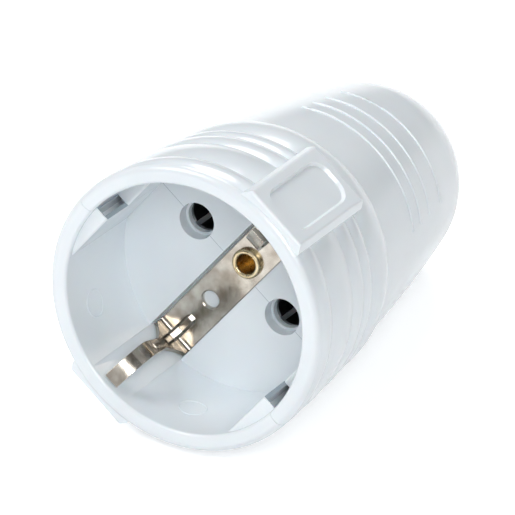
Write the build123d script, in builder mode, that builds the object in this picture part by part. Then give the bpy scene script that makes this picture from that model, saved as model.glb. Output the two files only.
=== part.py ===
"""Rewirable connector socket with an earthed round well, in millimetres.

Each piece is modelled in an upright working frame: X runs through the two pin holes,
Y is the depth behind the opening, and Z points to the upper grip pad. The shells part
at Z = 0. The finished pieces are then laid on the table as the loose socket comes to rest,
on its collar, its rear dome and one edge of the lower pad.
"""

from build123d import *
from math import acos, atan2, cos, degrees, hypot, radians, sin, sqrt
import os

# Well
well_radius = 19.5
well_depth = 17.5
floor_thickness = 3.0
mouth_round = 0.5

# Pin holes
pin_spacing = 19.0
pin_hole_radius = 2.5
pin_entry_radius = 2.9
pin_entry_depth = 2.0

# Flats inside the well
flat_height = 2.3
upper_flat_start = 7.2
lower_flat_start = 1.0
flat_round = 0.35
pocket_setback = 0.65
pocket_width = 1.4
pocket_start = 1.3
pocket_length = 11.0
pocket_drop = 2.8
pocket_taper = 7.0
flat_edge_length = 5.0
flat_join = 0.5
tongue_clearance = 0.4
tongue_setback = 2.4
tongue_drop = 2.0

# Outer skin: radius at each groove, from the rim to the rear dome
total_length = 70.0
rim_radius = 22.25
rim_round = 1.1
groove_depths = [1.7, 5.4, 12.9, 17.1, 20.3, 27.2]
groove_radii = [21.8, 21.8, 21.25, 20.95, 20.6, 19.75]
rib_heights = [0.42, 0.42, 0.4, 0.36, 0.62]
dome_middle_depth = 44.0
dome_middle_radius = 17.75
dome_end_depth = 58.6
dome_end_radius = 15.3
rear_face_radius = 6.5
shell_wall = 2.2
rear_wall = 4.0
chamber_back_radius = 6.0
chamber_join = 0.3

# Seam between the shells, and the upper rim's rounded end that is let into the lower rim
seam_width = 0.22
seam_depth = 0.3
seam_start = 1.7
rim_nose_drop = 0.7
rim_nose_round = 1.25
rim_nose_height = 2.8
rim_nose_margin = 0.2
rim_nose_depth = 0.9
rim_nose_gap = 0.08

# Grip pads
pad_height = 23.0
pad_top_width = 10.4
pad_base_width = 12.0
pad_start = 0.5
pad_end = 20.2
pad_bevel = 1.3
pad_round = 0.5
pad_corner_inset = 0.28
recess_width = 7.6
recess_start = 2.2
recess_end = 18.6
recess_corner = 2.9
recess_depth = 0.45
recess_taper = 40.0

# Raised lines on the rear dome
line_depths = [37.8, 41.2, 45.2, 50.4]
line_sweep = 84.0
line_radius = 0.22

# Channel for the earth strip
channel_width = 7.0
channel_slope = 0.3
trough_wall = 1.4

# Earth strip with its two springs
strip_width = 6.4
strip_thickness = 0.7
strip_drop = 2.7
strip_bend = 1.1
arm_gap = 0.25
arm_splay = 0.15
arm_knee_depth = 16.8
arm_knee_round = 4.0
arm_reach = 5.3
arm_apex_depth = 5.9
arm_apex_round = 2.5
arm_nose_drop = 3.4
arm_nose_depth = 2.3
arm_nose_round = 6.0
arm_tip_drop = 0.45
arm_tip_depth = 0.7
arm_tip_width = 2.5
arm_neck_width = 1.9
arm_neck_depth = 14.8
arm_flare_depth = 18.9
arm_flare_margin = 0.1
rib_width = 1.5
rib_top_width = 0.7
rib_height = 0.35
rib_length = 8.5
rib_taper = 1.5
dart_width = 1.7
dart_height = 0.5
dart_chamfer = 0.42
dart_reach = 4.8
dart_cut = 1.7
dart_bite = 0.2
strip_hole_radius = 1.4
strip_hole_offset = 9.7
strip_hole_chamfer = 0.18

# Hollow rivet at the centre
rivet_radius = 2.0
rivet_bore = 1.55
rivet_head_radius = 2.35
rivet_head_height = 0.9
rivet_tail = 2.6

# Terminals and contact sleeves
sleeve_bore = 2.55
sleeve_wall = 0.5
sleeve_length = 13.0
sleeve_gap = 0.4
sleeve_slot = 0.8
sleeve_slot_length = 9.0
sleeve_back = 2.0
spring_thickness = 0.5
spring_width = 1.6
spring_depth = 4.0
spring_opening = 1.6
spring_seat = 0.3
block_size = 8.0
block_length = 9.0
earth_block_size = 7.0
wire_bore = 1.6
wire_depth = 5.5
tail_radius = 2.0
tail_length = 3.0
tail_gap = 0.2
block_chamfer = 0.4
terminal_screw_inset = 3.1
fit_clearance = 0.02

# Screws
terminal_screw_radius = 1.5
terminal_screw_length = 5.6
terminal_head_radius = 2.6
terminal_head_height = 1.7
terminal_head_gap = 1.2
housing_screw_radius = 1.45
housing_screw_length = 12.0
housing_head_radius = 2.7
housing_head_height = 1.8
slot_width = 0.8
slot_depth = 0.8
screw_chamfer = 0.3
screw_clearance = 0.05
head_clearance = 0.3

# Bosses for the housing screws
front_boss_gap = 0.05
front_boss_depth = 31.5
rear_boss_offset = 10.3
rear_boss_depth = 56.0
boss_radius = 2.4
head_seat = 7.6
seat_thickness = 1.6
recess_wall = 1.2
upper_boss_height = 9.5

# Cradle ribs across the chamber, with their windows
cradle_thickness = 2.0
window_height = 7.2
earth_window_gap = 0.7
wire_window_wall = 1.2
sleeve_cradle_depth = 28.0
block_cradle_depth = 35.8
cradle_clearance = 0.1

# Cord inlet and clamp
cord_radius = 4.25
inlet_round = 1.0
clamp_depth = 49.0
clamp_width = 7.0
clamp_length = 20.0
clamp_thickness = 2.2
clamp_screw_offset = 7.2
clamp_post_radius = 2.5
clamp_post_top = 2.4
clamp_screw_length = 9.0
clamp_arch_width = 8.0
clamp_arch_rise = 1.3
clamp_corner = 2.5
saddle_length = 5.0
saddle_drop = 3.0

# How far a join is sunk in and a cut runs out, and the tolerance of a place
run_out = 1.0
near = 0.01

# Worked out from the sizes above
flat_offset = well_radius - flat_height
pocket_inner = flat_offset + pocket_setback
channel_mouth = well_radius - channel_slope
channel_root = well_radius + channel_slope
arm_root = channel_root - arm_gap - strip_thickness / 2
arm_knee = arm_root - arm_splay
arm_apex = arm_knee - arm_reach
arm_nose = arm_root - arm_nose_drop
arm_tip = arm_root - arm_tip_drop
pin_x = pin_spacing / 2
floor_back = well_depth + floor_thickness
strip_front = well_depth + strip_drop
strip_back = strip_front + strip_thickness
trough_back = strip_back + trough_wall
sleeve_start = floor_back + sleeve_gap
sleeve_radius = sleeve_bore + sleeve_wall
sleeve_end = sleeve_start + sleeve_length
block_start = sleeve_end
head_recess_radius = housing_head_radius + head_clearance
block_seat_size = block_size + 2 * cradle_clearance
wire_window_width = pin_spacing - block_size - 2 * wire_window_wall
pocket_x = pocket_inner + pocket_width / 2
pocket_y = pocket_start + pocket_length / 2
tongue_start = upper_flat_start + tongue_setback
tongue_length = pocket_start + pocket_length - tongue_clearance - tongue_start
tongue_y = tongue_start + tongue_length / 2
spring_seat_radius = sleeve_radius - spring_seat
front_boss_offset = pin_x + boss_radius + front_boss_gap + sleeve_radius
arm_face = arm_root - strip_thickness / 2
knee_face = arm_knee - strip_thickness / 2
arm_flare_edge = strip_width / 2 + arm_flare_margin
pad_band = (pad_height - near, pad_height + near)
rim_middle = (well_radius + rim_radius) / 2
rim_nose_width = rim_radius - well_radius + 2 * rim_nose_margin
boss_places = [
    (front_boss_offset, front_boss_depth),
    (-front_boss_offset, front_boss_depth),
    (rear_boss_offset, rear_boss_depth),
    (-rear_boss_offset, rear_boss_depth),
]


def bodySection(inset):
    """Half section of the outer skin, right of the axis, with its radii cut back by inset."""
    corner = rim_round * (1 - cos(radians(45)))
    with BuildSketch(Plane.XY) as section:
        with BuildLine():
            Line((0, 0), (rim_radius - rim_round - inset, 0))
            ThreePointArc(
                (rim_radius - rim_round - inset, 0),
                (rim_radius - corner - inset, corner),
                (rim_radius - inset, rim_round),
            )
            Line((rim_radius - inset, rim_round), (groove_radii[0] - inset, groove_depths[0]))
            for index, height in enumerate(rib_heights):
                start = (groove_radii[index] - inset, groove_depths[index])
                end = (groove_radii[index + 1] - inset, groove_depths[index + 1])
                crown = ((start[0] + end[0]) / 2 + height, (start[1] + end[1]) / 2)
                ThreePointArc(start, crown, end)
            ThreePointArc(
                (groove_radii[-1] - inset, groove_depths[-1]),
                (dome_middle_radius - inset, dome_middle_depth),
                (dome_end_radius - inset, dome_end_depth),
            )
            tail = (rear_face_radius - inset, total_length)
            TangentArc((dome_end_radius - inset, dome_end_depth), tail, tangent=dome_tangent)
            Line(tail, (0, total_length))
            Line((0, total_length), (0, 0))
        make_face()
    return section.sketch


def chamberSection(growth):
    """Half section of the hollow behind the well floor, grown into its walls by growth."""
    wall = shell_wall - growth
    front = floor_back - growth
    back = total_length - rear_wall + growth
    back_corner = (chamber_back_radius + growth, back)
    with BuildSketch(Plane.XY) as section:
        with BuildLine():
            Polyline(
                (0, back),
                (0, front),
                (groove_radii[4] - wall, front),
                (groove_radii[-1] - wall, groove_depths[-1]),
            )
            ThreePointArc(
                (groove_radii[-1] - wall, groove_depths[-1]),
                (dome_middle_radius - wall, dome_middle_depth),
                (dome_end_radius - wall, dome_end_depth),
            )
            TangentArc((dome_end_radius - wall, dome_end_depth), back_corner, tangent=dome_tangent)
            Line(back_corner, (0, back))
        make_face()
    return section.sketch


# Curve of the rear dome, and its direction where the rounded end begins
with BuildLine() as dome_line:
    dome_arc = ThreePointArc(
        (groove_radii[-1], groove_depths[-1]),
        (dome_middle_radius, dome_middle_depth),
        (dome_end_radius, dome_end_depth),
    )
dome_tangent = dome_arc % 1


def domeRadius(depth):
    """Outer radius of the rear dome at a depth on its long curve."""
    centre = dome_arc.arc_center
    return centre.X + sqrt(dome_arc.radius**2 - (depth - centre.Y) ** 2)


# Cradles, bosses and posts that stand in the chamber
with BuildPart() as chamber_frame:
    # Trough behind the earth strip
    with BuildSketch(Plane.XZ.offset(-(floor_back - run_out))):
        Rectangle(channel_width + 2 * trough_wall, 2 * rim_radius)
    extrude(amount=-(trough_back - floor_back + run_out))
    # Cradle rib with a round seat for each contact sleeve and a window for the earth terminal
    with BuildSketch(Plane.XZ.offset(-(sleeve_cradle_depth - cradle_thickness / 2))):
        Circle(rim_radius)
        Rectangle(earth_block_size + 2 * earth_window_gap, 2 * window_height, mode=Mode.SUBTRACT)
        with Locations((pin_x, 0), (-pin_x, 0)):
            Circle(sleeve_radius + cradle_clearance, mode=Mode.SUBTRACT)
    extrude(amount=-cradle_thickness)
    # Cradle rib with a square seat for each terminal and a window for the earth wire
    with BuildSketch(Plane.XZ.offset(-(block_cradle_depth - cradle_thickness / 2))):
        Circle(rim_radius)
        Rectangle(wire_window_width, 2 * window_height, mode=Mode.SUBTRACT)
        with Locations((pin_x, 0), (-pin_x, 0)):
            Rectangle(block_seat_size, block_seat_size, mode=Mode.SUBTRACT)
    extrude(amount=-cradle_thickness)
    # Upper bosses that take the housing screws
    with BuildSketch(Plane.XY):
        with Locations(*boss_places):
            Circle(boss_radius)
    extrude(amount=upper_boss_height)
    # Lower bosses, with the wider tubes around the screw heads
    with BuildSketch(Plane.XY):
        with Locations(*boss_places):
            Circle(boss_radius)
    extrude(amount=-head_seat)
    with BuildSketch(Plane.XY.offset(-(head_seat - seat_thickness))):
        with Locations(*boss_places):
            Circle(head_recess_radius + recess_wall)
    extrude(amount=-rim_radius)
    # Posts and saddle of the cord clamp
    with BuildSketch(Plane.XY):
        with Locations((clamp_screw_offset, clamp_depth), (-clamp_screw_offset, clamp_depth)):
            Circle(clamp_post_radius)
    extrude(amount=-rim_radius)
    with BuildSketch(Plane.XY.offset(-saddle_drop)):
        with Locations((0, clamp_depth)):
            Rectangle(2 * clamp_screw_offset, saddle_length)
    extrude(amount=-rim_radius)
    with BuildSketch(Plane.XZ.offset(-block_cradle_depth)):
        Circle(cord_radius)
    extrude(amount=-(total_length - block_cradle_depth), mode=Mode.SUBTRACT)
    add(revolve(chamberSection(chamber_join), axis=Axis.Y, mode=Mode.PRIVATE), mode=Mode.INTERSECT)

# Both shells in one piece, before they are parted
with BuildPart() as casing:
    add(bodySection(0))
    revolve(axis=Axis.Y)
    # Grip pads, above and below
    for side in (1, -1):
        with BuildSketch(Plane.XZ.offset(-pad_start)):
            with BuildLine():
                Polyline(
                    (-pad_base_width / 2, 0),
                    (-pad_base_width / 2, side * (pad_height - pad_bevel)),
                    (-pad_top_width / 2, side * pad_height),
                    (pad_top_width / 2, side * pad_height),
                    (pad_base_width / 2, side * (pad_height - pad_bevel)),
                    (pad_base_width / 2, 0),
                    close=True,
                )
            make_face()
        extrude(amount=-(pad_end - pad_start))
    pad_edges = casing.edges().filter_by(lambda edge: pad_band[0] < abs(edge.center().Z) < pad_band[1])
    fillet(pad_edges, pad_round)
    for side in (1, -1):
        recess_middle = (0, (recess_start + recess_end) / 2, side * pad_height)
        with BuildSketch(Plane(origin=recess_middle, x_dir=(1, 0, 0), z_dir=(0, 0, side))):
            RectangleRounded(recess_width, recess_end - recess_start, recess_corner)
        extrude(amount=-recess_depth, mode=Mode.SUBTRACT, taper=recess_taper)
    # Well, with its mouth rounded, then the chamber and the cord inlet
    with BuildSketch(Plane.XZ):
        Circle(well_radius)
    extrude(amount=-well_depth, mode=Mode.SUBTRACT)
    mouth = casing.edges().filter_by(GeomType.CIRCLE).filter_by_position(Axis.Y, -near, near)
    fillet(mouth.sort_by(SortBy.RADIUS)[0], mouth_round)
    add(revolve(chamberSection(0), axis=Axis.Y, mode=Mode.PRIVATE), mode=Mode.SUBTRACT)
    add(chamber_frame.part)
    with BuildSketch(Plane.XZ.offset(-total_length)):
        Circle(cord_radius)
    extrude(amount=rear_wall + run_out, mode=Mode.SUBTRACT)
    inlet = casing.edges().filter_by(GeomType.CIRCLE).filter_by_position(
        Axis.Y, total_length - near, total_length + near
    )
    fillet(inlet.sort_by(SortBy.RADIUS)[0], inlet_round)
    # Flats inside the well, the lower ones starting nearer the mouth
    for side, start in ((1, upper_flat_start), (-1, lower_flat_start)):
        with BuildSketch(Plane.XZ.offset(-start)):
            Circle(well_radius + flat_join)
            Rectangle(2 * flat_offset, 3 * well_radius, mode=Mode.SUBTRACT)
            with Locations((0, -side * well_radius)):
                Rectangle(3 * well_radius, 2 * well_radius, mode=Mode.SUBTRACT)
        extrude(amount=-(well_depth - start + flat_join))
        front_edges = casing.edges().filter_by(Axis.Z).filter_by_position(Axis.Y, start - near, start + near)
        fillet(front_edges.filter_by(lambda edge: edge.length > flat_edge_length), flat_round)
    # Channel for the earth strip, deeper towards the floor
    with BuildSketch(Plane.YZ):
        with BuildLine():
            slope = (channel_root - channel_mouth) / strip_back
            Polyline(
                (-run_out, channel_mouth - slope * run_out),
                (strip_back, channel_root),
                (strip_back, -channel_root),
                (-run_out, -channel_mouth + slope * run_out),
                close=True,
            )
        make_face()
    extrude(amount=channel_width / 2, both=True, mode=Mode.SUBTRACT)
    # Pin holes and the hole of the centre rivet
    with BuildSketch(Plane.XZ.offset(-well_depth)):
        with Locations((pin_x, 0), (-pin_x, 0)):
            Circle(pin_entry_radius)
    extrude(amount=-pin_entry_depth, mode=Mode.SUBTRACT)
    with BuildSketch(Plane.XZ.offset(-well_depth)):
        with Locations((pin_x, 0), (-pin_x, 0)):
            Circle(pin_hole_radius)
    extrude(amount=-floor_thickness, mode=Mode.SUBTRACT)
    with BuildSketch(Plane.XZ.offset(-strip_back)):
        Circle(rivet_radius + screw_clearance)
    extrude(amount=-trough_wall, mode=Mode.SUBTRACT)
    # Pockets in the lower flats, open at the parting plane
    with BuildSketch(Plane.XY):
        with Locations((pocket_x, pocket_y), (-pocket_x, pocket_y)):
            Rectangle(pocket_width, pocket_length)
    extrude(amount=-pocket_drop, mode=Mode.SUBTRACT, taper=pocket_taper)
    # Screw holes, and the recesses of the screw heads
    with BuildSketch(Plane.XY.offset(-head_seat)):
        with Locations(*boss_places):
            Circle(housing_screw_radius + screw_clearance)
    extrude(amount=housing_screw_length + screw_clearance, mode=Mode.SUBTRACT)
    with BuildSketch(Plane.XY.offset(-head_seat)):
        with Locations(*boss_places):
            Circle(head_recess_radius)
    extrude(amount=-rim_radius, mode=Mode.SUBTRACT)
    # Fine groove along the seam, behind the rim
    with BuildSketch(Plane.XY):
        with Locations((0, seam_start + total_length / 2)):
            Rectangle(3 * rim_radius, total_length)
        add(bodySection(seam_depth), mode=Mode.SUBTRACT)
        add(bodySection(seam_depth).mirror(Plane.YZ), mode=Mode.SUBTRACT)
    extrude(amount=seam_width / 2, both=True, mode=Mode.SUBTRACT)


def rimNose(gap):
    """Rounded end of the upper rim below the parting plane, both sides, grown by a gap."""
    with BuildPart() as nose:
        with BuildSketch(Plane.XZ.offset(run_out)):
            with Locations(
                (rim_middle, rim_nose_height / 2 - rim_nose_drop),
                (-rim_middle, rim_nose_height / 2 - rim_nose_drop),
            ):
                RectangleRounded(rim_nose_width + 2 * gap, rim_nose_height + 2 * gap, rim_nose_round + gap)
        extrude(amount=-(rim_nose_depth + run_out + gap))
        add(casing.part, mode=Mode.INTERSECT)
    return nose.part


# Upper shell, with the tongues that drop into the lower pockets and the raised lines
with BuildPart() as upper_shell:
    add(casing.part)
    split(bisect_by=Plane.XY, keep=Keep.TOP)
    with BuildSketch(Plane.XY.offset(flat_join)):
        with Locations((pocket_x, tongue_y), (-pocket_x, tongue_y)):
            Rectangle(pocket_width - 2 * tongue_clearance, tongue_length)
    extrude(amount=-(tongue_drop + flat_join))
    for depth in line_depths:
        start_plane = Plane.XY.rotated((0, -(90 - line_sweep / 2), 0))
        with BuildSketch(start_plane):
            with Locations((domeRadius(depth), depth)):
                Circle(line_radius)
        revolve(axis=Axis.Y, revolution_arc=-line_sweep)
    add(rimNose(0))

# Lower shell, with the posts that carry the cord clamp
with BuildPart() as lower_shell:
    add(casing.part)
    split(bisect_by=Plane.XY, keep=Keep.BOTTOM)
    add(rimNose(rim_nose_gap), mode=Mode.SUBTRACT)
    with BuildSketch(Plane.XY.offset(-run_out)):
        with Locations((clamp_screw_offset, clamp_depth), (-clamp_screw_offset, clamp_depth)):
            Circle(clamp_post_radius)
    extrude(amount=clamp_post_top + run_out)
    with BuildSketch(Plane.XY.offset(clamp_post_top)):
        with Locations((clamp_screw_offset, clamp_depth), (-clamp_screw_offset, clamp_depth)):
            Circle(housing_screw_radius + screw_clearance)
    extrude(amount=-(clamp_screw_length - clamp_thickness + screw_clearance), mode=Mode.SUBTRACT)

# Dart pressed into a root bend of the earth strip: a low ridge with a slanting facet at the corner
with BuildPart() as dart:
    with BuildSketch(Plane.YZ):
        with BuildLine():
            Polyline(
                (strip_front + dart_bite, arm_face - dart_reach),
                (strip_front, arm_face - dart_reach),
                (strip_front - dart_height, arm_face - dart_reach + dart_height),
                (strip_front - dart_height, arm_face - dart_cut),
                (strip_front - dart_cut, arm_face - dart_height),
                (arm_knee_depth, knee_face - rib_height),
                (arm_knee_depth, knee_face + dart_bite),
                (strip_front + dart_bite, arm_face + dart_bite),
                close=True,
            )
        make_face()
    extrude(amount=dart_width / 2, both=True)
    flanks = dart.edges().filter_by(lambda edge: abs(edge.center().X) > dart_width / 2 - near)
    crests = flanks.filter_by(
        lambda edge: edge.center().Y < strip_front - near
        and edge.center().Y > arm_knee_depth + near
        and edge.center().Z < arm_face - near
    )
    chamfer(crests, dart_chamfer)

# Shallow rib pressed along the sloping part of an arm, fading towards the contact bend
arm_slope = Vector(0, arm_apex_depth - arm_knee_depth, arm_apex - arm_knee)
with BuildPart() as arm_rib:
    with BuildSketch(Plane(origin=(0, arm_knee_depth, arm_knee), x_dir=(1, 0, 0), z_dir=arm_slope)):
        with BuildLine():
            Polyline(
                (-rib_width / 2, 0),
                (-rib_width / 2, -strip_thickness / 2),
                (-rib_top_width / 2, -strip_thickness / 2 - rib_height),
                (rib_top_width / 2, -strip_thickness / 2 - rib_height),
                (rib_width / 2, -strip_thickness / 2),
                (rib_width / 2, 0),
                close=True,
            )
        make_face()
    extrude(amount=rib_length, taper=rib_taper)

# Earth strip: a folded spring strip with an arm at each end, holes and pressed darts
with BuildPart() as earth_strip:
    strip_middle = strip_front + strip_thickness / 2
    half_path = [
        (arm_tip_depth, arm_tip),
        (arm_nose_depth, arm_nose),
        (arm_apex_depth, arm_apex),
        (arm_knee_depth, arm_knee),
        (strip_middle, arm_root),
    ]
    mirrored_path = [(depth, -height) for depth, height in reversed(half_path)]
    bends = [arm_nose_round, arm_apex_round, arm_knee_round, strip_bend]
    with BuildSketch(Plane.YZ):
        with BuildLine() as fold:
            FilletPolyline(*half_path, *mirrored_path, radius=[*bends, *reversed(bends)])
        trace(fold.line, strip_thickness)
    extrude(amount=strip_width / 2, both=True)
    # Pressed dart across each root bend, and the rib beyond it
    add(dart.part)
    add(arm_rib.part)
    add(dart.part.mirror(Plane.XY))
    add(arm_rib.part.mirror(Plane.XY))
    # Arms narrowed from the strip's full width
    for side in (1, -1):
        with BuildSketch(Plane.XY):
            with BuildLine():
                Polyline(
                    (side * arm_neck_width / 2, arm_neck_depth),
                    (side * arm_tip_width / 2, arm_apex_depth),
                    (side * arm_tip_width / 2, -run_out),
                    (side * strip_width, -run_out),
                    (side * strip_width, arm_flare_depth),
                    (side * arm_flare_edge, arm_flare_depth),
                )
                TangentArc(
                    (side * arm_neck_width / 2, arm_neck_depth),
                    (side * arm_flare_edge, arm_flare_depth),
                    tangent=(0, 1),
                )
            make_face()
        extrude(amount=well_radius + run_out, both=True, mode=Mode.SUBTRACT)
    # Holes
    with BuildSketch(Plane.XZ.offset(-strip_front + run_out)):
        with Locations((0, strip_hole_offset), (0, -strip_hole_offset)):
            Circle(strip_hole_radius)
        Circle(rivet_radius + screw_clearance)
    extrude(amount=-(strip_thickness + 2 * run_out), mode=Mode.SUBTRACT)
    hole_rims = earth_strip.edges().filter_by(GeomType.CIRCLE).filter_by_position(
        Axis.Y, strip_front - near, strip_front + near
    )
    hole_rims = hole_rims.filter_by(lambda edge: abs(edge.radius - strip_hole_radius) < near)
    chamfer(hole_rims, strip_hole_chamfer)

# Hollow rivet with a rolled head, pressed into the earth terminal
with BuildPart() as earth_rivet:
    with BuildSketch(Plane.XY):
        with BuildLine():
            tail_end = trough_back + rivet_tail
            head_top = strip_front - rivet_head_height
            head_middle = (rivet_bore + rivet_head_radius) / 2
            Polyline(
                (rivet_head_radius, strip_front - rivet_head_height / 2),
                (rivet_head_radius, strip_front),
                (rivet_radius, strip_front),
                (rivet_radius, tail_end),
                (rivet_bore, tail_end),
                (rivet_bore, strip_front - rivet_head_height / 2),
            )
            ThreePointArc(
                (rivet_bore, strip_front - rivet_head_height / 2),
                (head_middle, head_top),
                (rivet_head_radius, strip_front - rivet_head_height / 2),
            )
        make_face()
    revolve(axis=Axis.Y)


def terminalBlock(x, start, size, tail_hole, tail_hole_depth):
    """Square brass block with a front hole, a wire bore from behind and a screw hole from above."""
    with BuildPart() as block:
        with BuildSketch(Plane.XZ.offset(-start)):
            with Locations((x, 0)):
                Rectangle(size, size)
        extrude(amount=-block_length)
        chamfer(block.edges(), block_chamfer)
        with BuildSketch(Plane.XZ.offset(-start)):
            with Locations((x, 0)):
                Circle(tail_hole + fit_clearance)
        extrude(amount=-tail_hole_depth, mode=Mode.SUBTRACT)
        with BuildSketch(Plane.XZ.offset(-(start + block_length))):
            with Locations((x, 0)):
                Circle(wire_bore)
        extrude(amount=wire_depth, mode=Mode.SUBTRACT)
        with BuildSketch(Plane.XY):
            with Locations((x, start + block_length - terminal_screw_inset)):
                Circle(terminal_screw_radius + screw_clearance)
        extrude(amount=size, mode=Mode.SUBTRACT)
    return block.part


def slottedScrew(place, seat, head_radius, head_height, shank_radius, length, direction):
    """Cheese-head screw: head against the seat plane, shank running from it along direction in Z."""
    with BuildPart() as screw:
        with BuildSketch(Plane.XY.offset(seat)):
            with Locations(place):
                Circle(head_radius)
        extrude(amount=-direction * head_height)
        head_rim = screw.edges().filter_by(GeomType.CIRCLE).sort_by(Axis.Z, reverse=direction < 0)[0]
        chamfer(head_rim, screw_chamfer)
        with BuildSketch(Plane.XY.offset(seat)):
            with Locations(place):
                Circle(shank_radius)
        extrude(amount=direction * length)
        tip = screw.edges().filter_by(GeomType.CIRCLE).sort_by(Axis.Z, reverse=direction > 0)[0]
        chamfer(tip, screw_chamfer)
        with BuildSketch(Plane.XY.offset(seat - direction * head_height)):
            with Locations(place):
                Rectangle(2 * head_radius + run_out, slot_width)
        extrude(amount=direction * slot_depth, mode=Mode.SUBTRACT)
    return screw.part


def contactSleeve(x):
    """Slit brass sleeve that grips one pin, with a stub at its back for the terminal."""
    with BuildPart() as sleeve:
        with BuildSketch(Plane.XZ.offset(-sleeve_start)):
            with Locations((x, 0)):
                Circle(sleeve_radius)
        extrude(amount=-sleeve_length)
        with BuildSketch(Plane.XZ.offset(-sleeve_end)):
            with Locations((x, 0)):
                Circle(tail_radius)
        extrude(amount=-tail_length)
        with BuildSketch(Plane.XZ.offset(-sleeve_start)):
            with Locations((x, 0)):
                Circle(sleeve_bore)
        extrude(amount=-(sleeve_length - sleeve_back), mode=Mode.SUBTRACT)
        mouth = sleeve.edges().filter_by(GeomType.CIRCLE).sort_by(Axis.Y)[:2].sort_by(SortBy.RADIUS)[0]
        chamfer(mouth, sleeve_wall / 2)
        with BuildSketch(Plane.XZ.offset(-sleeve_start)):
            with Locations((x, 0)):
                Rectangle(2 * sleeve_radius + run_out, sleeve_slot)
                Rectangle(sleeve_slot, 2 * sleeve_radius + run_out)
        extrude(amount=-sleeve_slot_length, mode=Mode.SUBTRACT)
        with BuildSketch(Plane.XZ.offset(-(sleeve_start + spring_depth))):
            with Locations((x, 0)):
                Circle(sleeve_radius + run_out)
                Circle(spring_seat_radius, mode=Mode.SUBTRACT)
        extrude(amount=-(spring_width + 2 * fit_clearance), mode=Mode.SUBTRACT)
    return sleeve.part


def springRing(x):
    """Open steel ring that keeps the sleeve's fingers closed on the pin."""
    with BuildPart() as ring:
        with BuildSketch(Plane.XZ.offset(-(sleeve_start + spring_depth + fit_clearance))):
            with Locations((x, 0)):
                Circle(spring_seat_radius + fit_clearance + spring_thickness)
                Circle(spring_seat_radius + fit_clearance, mode=Mode.SUBTRACT)
            with Locations((x, -sleeve_radius)):
                Rectangle(spring_opening, 2 * spring_thickness + run_out, mode=Mode.SUBTRACT)
        extrude(amount=-spring_width)
    return ring.part


# Bar of the cord clamp, arched over the cord
with BuildPart() as cord_clamp:
    with BuildSketch(Plane.XZ.offset(-(clamp_depth - clamp_width / 2))):
        with BuildLine():
            Polyline(
                (-clamp_arch_width / 2, clamp_post_top),
                (-clamp_length / 2, clamp_post_top),
                (-clamp_length / 2, clamp_post_top + clamp_thickness),
                (-clamp_arch_width / 2, clamp_post_top + clamp_thickness),
            )
            ThreePointArc(
                (-clamp_arch_width / 2, clamp_post_top + clamp_thickness),
                (0, clamp_post_top + clamp_thickness + clamp_arch_rise),
                (clamp_arch_width / 2, clamp_post_top + clamp_thickness),
            )
            Polyline(
                (clamp_arch_width / 2, clamp_post_top + clamp_thickness),
                (clamp_length / 2, clamp_post_top + clamp_thickness),
                (clamp_length / 2, clamp_post_top),
                (clamp_arch_width / 2, clamp_post_top),
            )
            ThreePointArc(
                (clamp_arch_width / 2, clamp_post_top),
                (0, clamp_post_top + clamp_arch_rise),
                (-clamp_arch_width / 2, clamp_post_top),
            )
        make_face()
    extrude(amount=-clamp_width)
    fillet(cord_clamp.edges().filter_by(Axis.Z).group_by(Axis.X)[0], clamp_corner)
    fillet(cord_clamp.edges().filter_by(Axis.Z).group_by(Axis.X)[-1], clamp_corner)
    with BuildSketch(Plane.XY.offset(clamp_post_top)):
        with Locations((clamp_screw_offset, clamp_depth), (-clamp_screw_offset, clamp_depth)):
            Circle(housing_screw_radius + screw_clearance)
    extrude(amount=clamp_thickness, mode=Mode.SUBTRACT)

pieces = {
    "upper_shell": upper_shell.part,
    "lower_shell": lower_shell.part,
    "earth_strip": earth_strip.part,
    "earth_rivet": earth_rivet.part,
    "cord_clamp": cord_clamp.part,
}
pieces["earth_terminal"] = terminalBlock(
    0, trough_back, earth_block_size, rivet_radius, rivet_tail + tail_gap
)
pieces["earth_terminal_screw"] = slottedScrew(
    (0, trough_back + block_length - terminal_screw_inset),
    earth_block_size / 2 + terminal_head_gap,
    terminal_head_radius,
    terminal_head_height,
    terminal_screw_radius,
    terminal_screw_length,
    -1,
)
for name, x in (("line", pin_x), ("neutral", -pin_x)):
    pieces[name + "_contact"] = contactSleeve(x)
    pieces[name + "_spring_ring"] = springRing(x)
    pieces[name + "_terminal"] = terminalBlock(
        x, block_start, block_size, tail_radius, tail_length + tail_gap
    )
    pieces[name + "_terminal_screw"] = slottedScrew(
        (x, block_start + block_length - terminal_screw_inset),
        block_size / 2 + terminal_head_gap,
        terminal_head_radius,
        terminal_head_height,
        terminal_screw_radius,
        terminal_screw_length,
        -1,
    )
for number, place in enumerate(boss_places, 1):
    pieces[f"housing_screw_{number}"] = slottedScrew(
        place,
        -head_seat,
        housing_head_radius,
        housing_head_height,
        housing_screw_radius,
        housing_screw_length,
        1,
    )
for number, x in enumerate((clamp_screw_offset, -clamp_screw_offset), 1):
    pieces[f"clamp_screw_{number}"] = slottedScrew(
        (x, clamp_depth),
        clamp_post_top + clamp_thickness,
        housing_head_radius,
        housing_head_height,
        housing_screw_radius,
        clamp_screw_length,
        -1,
    )

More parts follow.
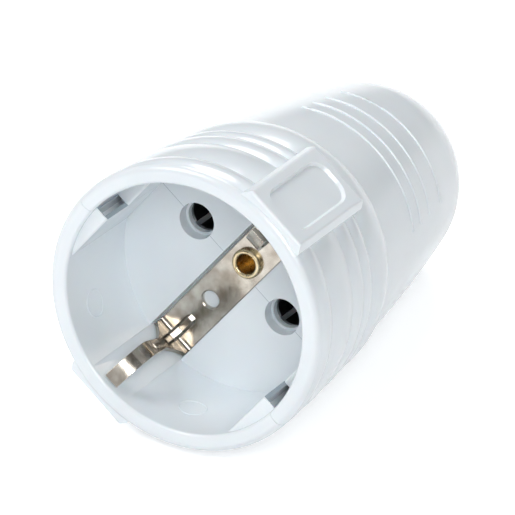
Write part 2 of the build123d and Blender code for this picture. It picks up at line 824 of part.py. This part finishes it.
# How the loose socket comes to rest. In the half plane of radius and depth, the table touches
# the round collar and the long curve of the dome, so it is the common tangent of two arcs.
with BuildLine() as collar_line:
    collar_arc = ThreePointArc(
        (groove_radii[-2], groove_depths[-2]),
        (
            (groove_radii[-2] + groove_radii[-1]) / 2 + rib_heights[-1],
            (groove_depths[-2] + groove_depths[-1]) / 2,
        ),
        (groove_radii[-1], groove_depths[-1]),
    )
centre_step = dome_arc.arc_center - collar_arc.arc_center
step_angle = degrees(atan2(centre_step.Y, centre_step.X))
tangent_turn = degrees(acos((collar_arc.radius - dome_arc.radius) / centre_step.length))
tip_back = (step_angle - tangent_turn) % 360
table_distance = (
    collar_arc.arc_center.X * cos(radians(tip_back))
    + collar_arc.arc_center.Y * sin(radians(tip_back))
    + collar_arc.radius
)
# The socket rolls until the rounded rear corner of the lower pad meets the table as well
corner_x = pad_top_width / 2 - pad_corner_inset
corner_z = pad_height - pad_round
corner_reach = table_distance - pad_round - (pad_end - pad_round) * sin(radians(tip_back))
roll = degrees(atan2(corner_x, corner_z)) + degrees(
    acos(corner_reach / (hypot(corner_x, corner_z) * cos(radians(tip_back))))
)
down = Vector(
    cos(radians(tip_back)) * sin(radians(roll)),
    sin(radians(tip_back)),
    -cos(radians(tip_back)) * cos(radians(roll)),
)
backward = Vector(0, 1, 0) - down * down.Y
rest_plane = Plane(origin=(0, 0, 0), x_dir=backward.cross(-down), z_dir=-down)
turned = {name: rest_plane.to_local_coords(piece) for name, piece in pieces.items()}
boxes = [piece.bounding_box() for piece in turned.values()]
middle_x = (min(box.min.X for box in boxes) + max(box.max.X for box in boxes)) / 2
middle_y = (min(box.min.Y for box in boxes) + max(box.max.Y for box in boxes)) / 2
lowest = min(box.min.Z for box in boxes)
on_table = Pos(-middle_x, -middle_y, -lowest)

os.makedirs("parts", exist_ok=True)
for name, piece in turned.items():
    piece = on_table * piece
    piece.label = name
    export_step(piece, f"parts/{name}.step")
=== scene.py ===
import bmesh
import bpy
import math
from mathutils import Matrix, Vector


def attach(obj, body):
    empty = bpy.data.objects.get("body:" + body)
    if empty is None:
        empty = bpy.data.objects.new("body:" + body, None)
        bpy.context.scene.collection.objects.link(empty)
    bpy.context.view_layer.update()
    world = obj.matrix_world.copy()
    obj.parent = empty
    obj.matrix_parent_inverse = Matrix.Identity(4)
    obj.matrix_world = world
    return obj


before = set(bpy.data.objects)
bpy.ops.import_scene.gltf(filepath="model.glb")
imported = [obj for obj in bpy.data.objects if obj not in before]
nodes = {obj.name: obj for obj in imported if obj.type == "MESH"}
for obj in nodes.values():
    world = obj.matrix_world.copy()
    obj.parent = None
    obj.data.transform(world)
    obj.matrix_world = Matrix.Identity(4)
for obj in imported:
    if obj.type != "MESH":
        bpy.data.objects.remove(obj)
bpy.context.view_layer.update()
print("frame loaded,", len(nodes), "nodes")


def hexToLinear(code, alpha=1.0):
    # an sRGB hex colour as the linear values that the sockets take
    parts = [int(code[i:i + 2], 16) / 255 for i in (1, 3, 5)]
    linear = [c / 12.92 if c <= 0.04045 else ((c + 0.055) / 1.055) ** 2.4 for c in parts]
    return (*linear, alpha)


def newMaterial(name):
    material = bpy.data.materials.new(name)
    material.use_nodes = True
    material.node_tree.nodes.clear()
    return material


def addNode(material, kind, settings=None, inputs=None):
    # adds one node with its settings; an input is a value, or another node's output to link
    tree = material.node_tree
    node = tree.nodes.new(kind)
    for key, value in (settings or {}).items():
        setattr(node, key, value)
    for key, value in (inputs or {}).items():
        if isinstance(value, bpy.types.NodeSocket):
            tree.links.new(value, node.inputs[key])
        else:
            node.inputs[key].default_value = value
    return node


def addMath(material, operation, first, second=0.0):
    return addNode(material, "ShaderNodeMath", {"operation": operation}, {0: first, 1: second}).outputs[0]


def addNoise(material, place, scale, detail, roughness=0.5):
    return addNode(material, "ShaderNodeTexNoise", None, {
        "Vector": place, "Scale": scale, "Detail": detail, "Roughness": roughness,
    }).outputs["Fac"]


def addTint(material, amount, dark, light):
    # a colour between two, over the middle of a noise
    ramp = addNode(material, "ShaderNodeValToRGB", None, {"Fac": amount})
    for element, stop, code in zip(ramp.color_ramp.elements, (0.3, 0.7), (dark, light)):
        element.position = stop
        element.color = hexToLinear(code)
    return ramp.outputs["Color"]


def addBump(material, height, distance, normal=None):
    inputs = {"Height": height, "Distance": distance, "Strength": 1.0}
    if normal:
        inputs["Normal"] = normal
    return addNode(material, "ShaderNodeBump", None, inputs).outputs["Normal"]


def addSurface(material, inputs):
    shader = addNode(material, "ShaderNodeBsdfPrincipled", None, inputs)
    addNode(material, "ShaderNodeOutputMaterial", None, {"Surface": shader.outputs["BSDF"]})


def wear(material, *names):
    # puts a material on every slot of these CAD nodes
    for name in names:
        for slot in nodes[name].material_slots:
            slot.material = material


def placeMesh(name, shape, material):
    mesh = bpy.data.meshes.new(name)
    shape.to_mesh(mesh)
    shape.free()
    mesh.materials.append(material)
    piece = bpy.data.objects.new(name, mesh)
    bpy.context.scene.collection.objects.link(piece)
    return piece


# The socket leans back by one angle and is rolled by the other, on its collar, dome and lower pad
lie = {"tipBack": 8.555, "roll": 37.152, "mouth": (0.0, -0.0335148, 0.0241455)}
millimetre = 0.001


def socketAxes(v):
    # the socket's own axes in the frame: along the pin holes, into the well, and to the upper pad
    t, r = math.radians(v["tipBack"]), math.radians(v["roll"])
    down = Vector((math.cos(t) * math.sin(r), math.sin(t), -math.cos(t) * math.cos(r)))
    back = Vector((0, 1, 0)) - down * down.y
    right = back.cross(-down).normalized()
    turn = Matrix((right, (-down).cross(right), -down))
    return turn @ Vector((1, 0, 0)), turn @ Vector((0, 1, 0)), turn @ Vector((0, 0, 1))


pinWay, inWay, padWay = socketAxes(lie)
mouth = Vector(lie["mouth"])


def onSocket(x, depth, z):
    # a place given in millimetres along the socket's own axes
    return mouth + (pinWay * x + inWay * depth + padWay * z) * millimetre


# Plastic of the two shells
shellFinish = {
    "pale": "#E4EAEE",
    "shade": "#DCE3E8",
    "cloudsPerMetre": 60.0,
    # painted shade: the dark colour of the hairline along the seam
    "seamShadeColour": "#98A4AC",
    "seamHalf": 0.00005,
    "seamCore": 0.3,  # share of the half width that is fully dark
    "seamStart": 0.0012,
    "glossiest": 0.17,
    "dullest": 0.24,
    "ior": 1.52,
    "glow": 0.1,  # light that spreads under the surface
    "glowReach": 0.001,
    "peelSize": 0.0012,
    "peelHeight": 0.000005,
}


def makeShellPlastic(v):
    # injection-moulded ABS from a polished tool: cool white, glossy, with a faint orange peel
    #     # and a hairline of painted shade where the shells meet, standing for the shadow in the fine gap
    m = newMaterial("mouldedWhiteAbs")
    place = addNode(m, "ShaderNodeTexCoord").outputs["Object"]
    cloud = addNoise(m, place, v["cloudsPerMetre"], 2.0)
    tint = addTint(m, cloud, v["shade"], v["pale"])
    fromMouth = addNode(m, "ShaderNodeVectorMath", {"operation": "SUBTRACT"}, {0: place, 1: tuple(mouth)})

    def along(way):
        # how far the place lies from the mouth along one of the socket's axes
        return addNode(m, "ShaderNodeVectorMath", {"operation": "DOT_PRODUCT"}, {
            0: fromMouth.outputs["Vector"], 1: tuple(way),
        }).outputs["Value"]

    away = addMath(m, "ABSOLUTE", along(padWay))
    # painted shade: the colour goes dark within a hairline either side of the seam plane, for the shadow
    # in the gap between the shells
    line = addNode(m, "ShaderNodeMapRange", {"interpolation_type": "SMOOTHSTEP"}, {
        "Value": away, "From Min": v["seamHalf"] * v["seamCore"], "From Max": v["seamHalf"],
        "To Min": 1.0, "To Max": 0.0,
    })
    # the rim has a let-in end there, so the line starts behind it
    behind = addMath(m, "GREATER_THAN", along(inWay), v["seamStart"])
    paintedSeamShade = addMath(m, "MULTIPLY", line.outputs["Result"], behind)
    colour = addNode(m, "ShaderNodeMix", {"data_type": "RGBA"}, {
        0: paintedSeamShade, 6: tint, 7: hexToLinear(v["seamShadeColour"]),
    })
    gloss = addNode(m, "ShaderNodeMapRange", None, {
        "Value": cloud, "From Min": 0.3, "From Max": 0.7,
        "To Min": v["glossiest"], "To Max": v["dullest"],
    })
    addSurface(m, {
        "Base Color": colour.outputs[2],
        "Roughness": gloss.outputs["Result"],
        "IOR": v["ior"],
        "Subsurface Weight": v["glow"],
        "Subsurface Scale": v["glowReach"],
        "Normal": addBump(m, addNoise(m, place, 1 / v["peelSize"], 1.0), v["peelHeight"]),
    })
    return m


shellPlastic = makeShellPlastic(shellFinish)
wear(shellPlastic, "upper_shell", "lower_shell")
print("shells done")

# Rings that the ejector pins left on the well's wall, in millimetres along the socket's own axes
ringLook = {
    "places": [(-10.55, 7.2, -16.4), (10.7, 8.0, -16.3)],
    "radius": 2.1,
    "wire": 0.09,
    "wall": 19.5,
    "around": 72,
    "across": 10,
}


def makeEjectorRing(name, place, v):
    # a fine raised ring, half sunk in the plastic and bent to the round wall
    shape = bmesh.new()
    atRim = Matrix.Translation((v["radius"], 0, 0)) @ Matrix.Rotation(math.pi / 2, 4, "X")
    bmesh.ops.create_circle(shape, segments=v["across"], radius=v["wire"], matrix=atRim)
    bmesh.ops.spin(
        shape, geom=shape.verts[:] + shape.edges[:], axis=(0, 0, 1), cent=(0, 0, 0),
        angle=2 * math.pi, steps=v["around"], use_merge=True,
    )
    wallTurn = math.atan2(place[2], place[0])
    for vert in shape.verts:
        angle = wallTurn + vert.co.x / v["wall"]
        reach = v["wall"] - vert.co.z
        vert.co = onSocket(reach * math.cos(angle), place[1] + vert.co.y, reach * math.sin(angle))
    bmesh.ops.recalc_face_normals(shape, faces=shape.faces[:])
    for face in shape.faces:
        face.smooth = True
    ring = placeMesh(name, shape, shellPlastic)
    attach(ring, "root")


for number, place in enumerate(ringLook["places"], 1):
    makeEjectorRing(f"ejectorRing{number}", place, ringLook)
print("rings done")


def makeMetal(name, v):
    # a metal with streaks along one way, faint waves from pressing, worn round at its edges
    m = newMaterial(name)
    place = addNode(m, "ShaderNodeTexCoord").outputs["Object"]
    turned = addNode(m, "ShaderNodeMapping", None, {
        "Vector": place, "Rotation": v.get("turn", (0, 0, 0)), "Scale": v.get("stretch", (1, 1, 1)),
    }).outputs["Vector"]
    streak = addNoise(m, turned, 1 / v["grain"], 3.0, 0.6)
    wave = addNoise(m, turned, 1 / v["waveSize"], 1.0)
    cloud = addNoise(m, place, 1 / v["cloud"], 2.0)
    gloss = addNode(m, "ShaderNodeMapRange", None, {
        "Value": streak, "From Min": 0.25, "From Max": 0.75,
        "To Min": v["roughness"] * 0.8, "To Max": v["roughness"] * 1.25,
    })
    worn = addNode(m, "ShaderNodeBevel", {"samples": 6}, {"Radius": v["edge"]}).outputs["Normal"]
    waves = addBump(m, wave, v["waveHeight"], worn)
    addSurface(m, {
        "Base Color": addTint(m, cloud, v["dark"], v["light"]),
        "Metallic": 1.0,
        "Roughness": gloss.outputs["Result"],
        "Normal": addBump(m, streak, v["relief"], waves),
    })
    return m


# pressed brass strip, nickel-plated, with its streaks along the strip
stripFinish = {
    "light": "#CBC6BC", "dark": "#A0968A", "cloud": 0.0025,
    "roughness": 0.2, "grain": 0.0005, "relief": 0.000003,
    "waveSize": 0.003, "waveHeight": 0.00007, "edge": 0.00012,
    "turn": (math.radians(-37), 0, 0), "stretch": (1.0, 1.0, 0.25),
}
wear(makeMetal("nickelPlatedBrassStrip", stripFinish), "earth_strip")

# brass tube, drawn and rolled over
eyeletFinish = {
    "light": "#EEDDBA", "dark": "#D5BF93", "cloud": 0.002,
    "roughness": 0.28, "grain": 0.0008, "relief": 0.000004,
    "waveSize": 0.001, "waveHeight": 0.00002, "edge": 0.00012,
}
wear(makeMetal("drawnEyeletBrass", eyeletFinish), "earth_rivet")

# tin-plated brass, gone dull
contactFinish = {
    "light": "#7E8082", "dark": "#646668", "cloud": 0.003,
    "roughness": 0.42, "grain": 0.0005, "relief": 0.000006,
    "waveSize": 0.002, "waveHeight": 0.00001, "edge": 0.0001,
}
wear(makeMetal("tinPlatedContactBrass", contactFinish), "line_contact", "neutral_contact")

# bright brass from bar
turnedBrassFinish = {
    "light": "#D9B56A", "dark": "#B98F4A", "cloud": 0.003,
    "roughness": 0.28, "grain": 0.0005, "relief": 0.000006,
    "waveSize": 0.002, "waveHeight": 0.00001, "edge": 0.0001,
}
turnedBrass = makeMetal("turnedTerminalBrass", turnedBrassFinish)
wear(turnedBrass, "line_terminal", "neutral_terminal", "earth_terminal")

# steel screws, zinc-plated
screwFinish = {
    "light": "#C9C9C6", "dark": "#A9A8A4", "cloud": 0.003,
    "roughness": 0.3, "grain": 0.0006, "relief": 0.000006,
    "waveSize": 0.002, "waveHeight": 0.00001, "edge": 0.0001,
}
zincSteel = makeMetal("zincPlatedScrewSteel", screwFinish)
wear(zincSteel, "line_terminal_screw", "neutral_terminal_screw", "earth_terminal_screw")
wear(zincSteel, *[f"housing_screw_{number}" for number in (1, 2, 3, 4)])
wear(zincSteel, "clamp_screw_1", "clamp_screw_2")

# hardened spring steel with its dark skin
springFinish = {
    "light": "#8E9094", "dark": "#6C6E72", "cloud": 0.002,
    "roughness": 0.35, "grain": 0.0005, "relief": 0.000005,
    "waveSize": 0.002, "waveHeight": 0.00001, "edge": 0.0001,
}
wear(makeMetal("blueSpringSteel", springFinish), "line_spring_ring", "neutral_spring_ring")
print("metals done")

# Bar of the cord clamp
clampFinish = {"light": "#6B2F1B", "dark": "#54200F", "roughness": 0.6, "layer": 0.0005, "relief": 0.00002}


def makeClampFibre(v):
    # vulcanised fibre: reddish brown, dull, faintly layered
    m = newMaterial("vulcanisedFibre")
    place = addNode(m, "ShaderNodeTexCoord").outputs["Object"]
    fleck = addNoise(m, place, 1 / v["layer"], 4.0)
    addSurface(m, {
        "Base Color": addTint(m, fleck, v["dark"], v["light"]),
        "Roughness": v["roughness"],
        "Normal": addBump(m, fleck, v["relief"]),
    })
    return m


wear(makeClampFibre(clampFinish), "cord_clamp")
print("clamp done")

# White paper below, which the camera and reflections see a little brighter than it is lit
floorLook = {"half": 3.0, "colour": "#F4F5F6", "roughness": 0.9, "shine": 0.1, "lift": 0.45}


def makeFloor(v):
    m = newMaterial("matteWhitePaper")
    rays = addNode(m, "ShaderNodeLightPath").outputs
    seen = addMath(m, "MAXIMUM", rays["Is Camera Ray"], rays["Is Glossy Ray"])
    seen = addMath(m, "MAXIMUM", seen, rays["Is Transmission Ray"])
    addSurface(m, {
        "Base Color": hexToLinear(v["colour"]),
        "Roughness": v["roughness"],
        "Specular IOR Level": v["shine"],
        "Emission Color": (1, 1, 1, 1),
        "Emission Strength": addMath(m, "MULTIPLY", seen, v["lift"]),
    })
    sheet = bmesh.new()
    bmesh.ops.create_grid(sheet, x_segments=1, y_segments=1, size=v["half"])
    placeMesh("paperFloor", sheet, m)


makeFloor(floorLook)
print("floor done")

# Square soft lamps, all turned to the socket
lampLook = {
    "key": {"place": (-0.75, -0.65, 1.25), "size": 0.7, "power": 11.5},
    "fill": {"place": (0.75, -0.95, 0.95), "size": 0.6, "power": 12.2},
    "front": {"place": (0.2, -1.4, 0.85), "size": 1.0, "power": 1.6},
    "back": {"place": (-0.4, 0.9, 1.2), "size": 0.6, "power": 10.0},
}
lampAim = (0, -0.01, 0.02)
worldLook = {"colour": "#FFFFFF", "light": 0.12}


def makeLamp(name, v):
    data = bpy.data.lights.new(name, "AREA")
    data.shape = "SQUARE"
    data.size = v["size"]
    data.energy = v["power"]
    lamp = bpy.data.objects.new(name, data)
    bpy.context.scene.collection.objects.link(lamp)
    lamp.location = v["place"]
    lamp.rotation_euler = (Vector(lampAim) - Vector(v["place"])).to_track_quat("-Z", "Y").to_euler()


def makeWorld(v):
    world = bpy.data.worlds.new("studioWorld")
    bpy.context.scene.world = world
    world.use_nodes = True
    background = world.node_tree.nodes["Background"]
    background.inputs["Color"].default_value = hexToLinear(v["colour"])
    background.inputs["Strength"].default_value = v["light"]


for lampName, lampValues in lampLook.items():
    makeLamp(lampName + "Lamp", lampValues)
makeWorld(worldLook)
print("light done")

cameraLook = {
    "place": (0.32841, -0.60757, 0.45290),
    "elevation": 32.406,
    "azimuth": 28.817,
    "roll": -0.60,
    "lens": 379.8,
    "sensor": 36.0,
    "nearest": 0.05,
    "farthest": 20.0,
}


def makeCamera(v):
    data = bpy.data.cameras.new("studioCamera")
    data.sensor_width = v["sensor"]
    data.lens = v["lens"]
    data.clip_start = v["nearest"]
    data.clip_end = v["farthest"]
    camera = bpy.data.objects.new("studioCamera", data)
    bpy.context.scene.collection.objects.link(camera)
    turn = Matrix.Rotation(math.radians(v["azimuth"]), 4, "Z")
    lean = Matrix.Rotation(math.radians(90 - v["elevation"]), 4, "X")
    spin = Matrix.Rotation(math.radians(v["roll"]), 4, "Z")
    camera.matrix_world = Matrix.Translation(v["place"]) @ turn @ lean @ spin
    bpy.context.scene.camera = camera


makeCamera(cameraLook)
bpy.context.scene.view_settings.view_transform = "Standard"
print("camera done")
